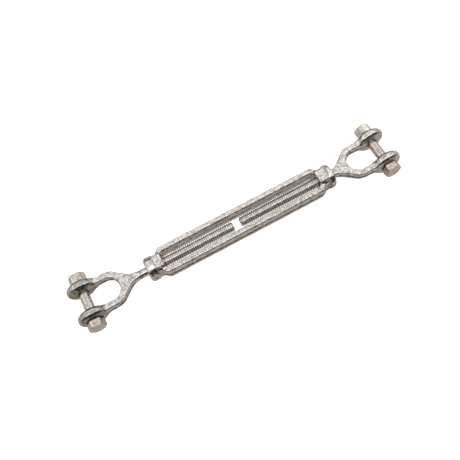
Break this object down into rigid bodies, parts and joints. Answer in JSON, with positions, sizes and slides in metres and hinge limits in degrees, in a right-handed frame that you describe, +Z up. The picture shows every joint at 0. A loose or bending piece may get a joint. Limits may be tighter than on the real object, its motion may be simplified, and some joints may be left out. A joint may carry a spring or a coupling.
{
  "type": "rigging turnbuckle",
  "caption": "Jaw-and-jaw rigging turnbuckle: an open forged body between two threaded fork ends, each closed by a hex bolt and nut, used to tension wire rope or chain.",
  "frame": {"origin": "on the thread axis, midway between the two jaw bolts", "axes": "+X along the threads towards the right jaw, +Y along the jaw bolts towards the nuts, +Z up through the open window of the body"},
  "size_m": [0.209, 0.0363, 0.0168],
  "materials": {
    "forged_zinc": "hot-dip galvanised forging, satin and slightly mottled",
    "bolt_zinc": "galvanised hex hardware, satin, slightly warmer than the forgings"
  },
  "bodies": {
    "body": {"turnbuckle_body": "forged_zinc"},
    "left_jaw": {"left_jaw_end": "forged_zinc"},
    "left_bolt": {"left_jaw_bolt": "bolt_zinc"},
    "left_nut": {"left_jaw_nut": "bolt_zinc"},
    "right_jaw": {"right_jaw_end": "forged_zinc"},
    "right_bolt": {"right_jaw_bolt": "bolt_zinc"},
    "right_nut": {"right_jaw_nut": "bolt_zinc"}
  },
  "joints": [
    {"name": "left_jaw_travel", "type": "slide", "parent": "body", "child": "left_jaw", "axis": [-1, 0, 0], "range_m": [-0.002, 0.045]},
    {"name": "right_jaw_travel", "type": "slide", "parent": "body", "child": "right_jaw", "axis": [1, 0, 0], "range_m": [-0.002, 0.045]},
    {"name": "left_bolt_draw", "type": "slide", "parent": "left_jaw", "child": "left_bolt", "axis": [0, -1, 0], "range_m": [0, 0.033]},
    {"name": "left_nut_unscrew", "type": "slide", "parent": "left_jaw", "child": "left_nut", "axis": [0, 1, 0], "range_m": [0, 0.008]},
    {"name": "right_bolt_draw", "type": "slide", "parent": "right_jaw", "child": "right_bolt", "axis": [0, -1, 0], "range_m": [0, 0.033]},
    {"name": "right_nut_unscrew", "type": "slide", "parent": "right_jaw", "child": "right_nut", "axis": [0, 1, 0], "range_m": [0, 0.008]}
  ],
  "couplings": [
    {"joint": "right_jaw_travel", "follows": "left_jaw_travel", "ratio": 1}
  ]
}
